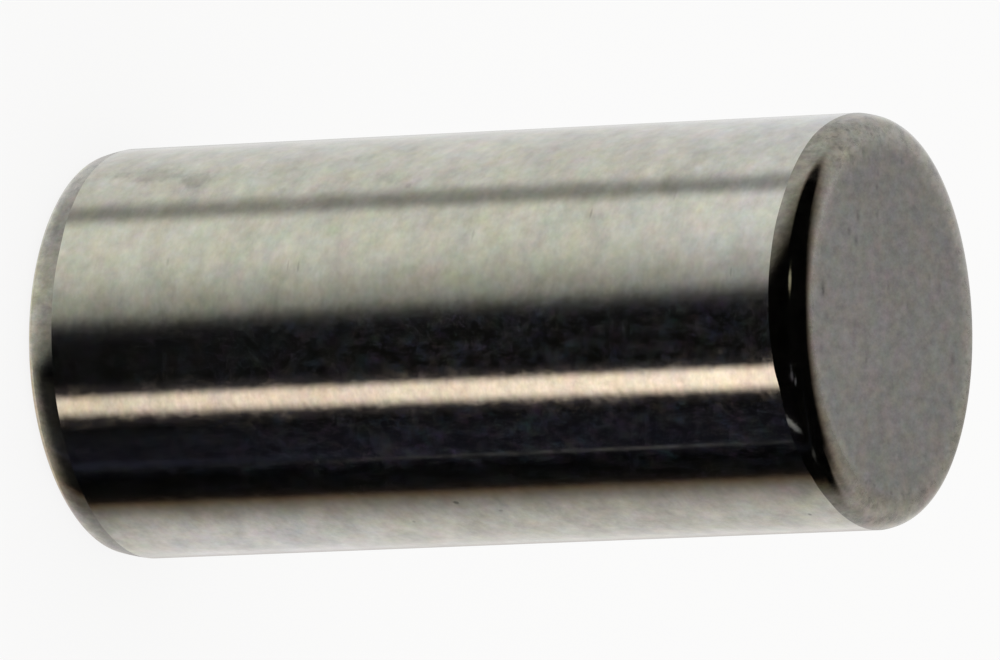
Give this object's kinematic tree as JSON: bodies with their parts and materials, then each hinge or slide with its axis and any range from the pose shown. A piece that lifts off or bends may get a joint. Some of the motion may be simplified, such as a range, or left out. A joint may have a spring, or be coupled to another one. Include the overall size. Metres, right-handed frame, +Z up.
{
  "type": "dowel pin",
  "caption": "Short cylindrical steel dowel pin with a ground wall, a stepped eased corner at each end and flat matte end faces.",
  "frame": {"origin": "centre of the lower end face, on the pin's axis, where the pin stands", "axes": "+Z up along the pin's axis to the other end face; +X and +Y lie in the end face, and the pin is round about Z"},
  "size_m": [0.006, 0.006, 0.0125],
  "materials": {
    "hardened_steel": "ground to a near-mirror wall with fine grinding lines round it, turned and tumbled corners, matte grey end faces"
  },
  "bodies": {
    "root": {"dowel_pin": "hardened_steel"}
  },
  "joints": []
}
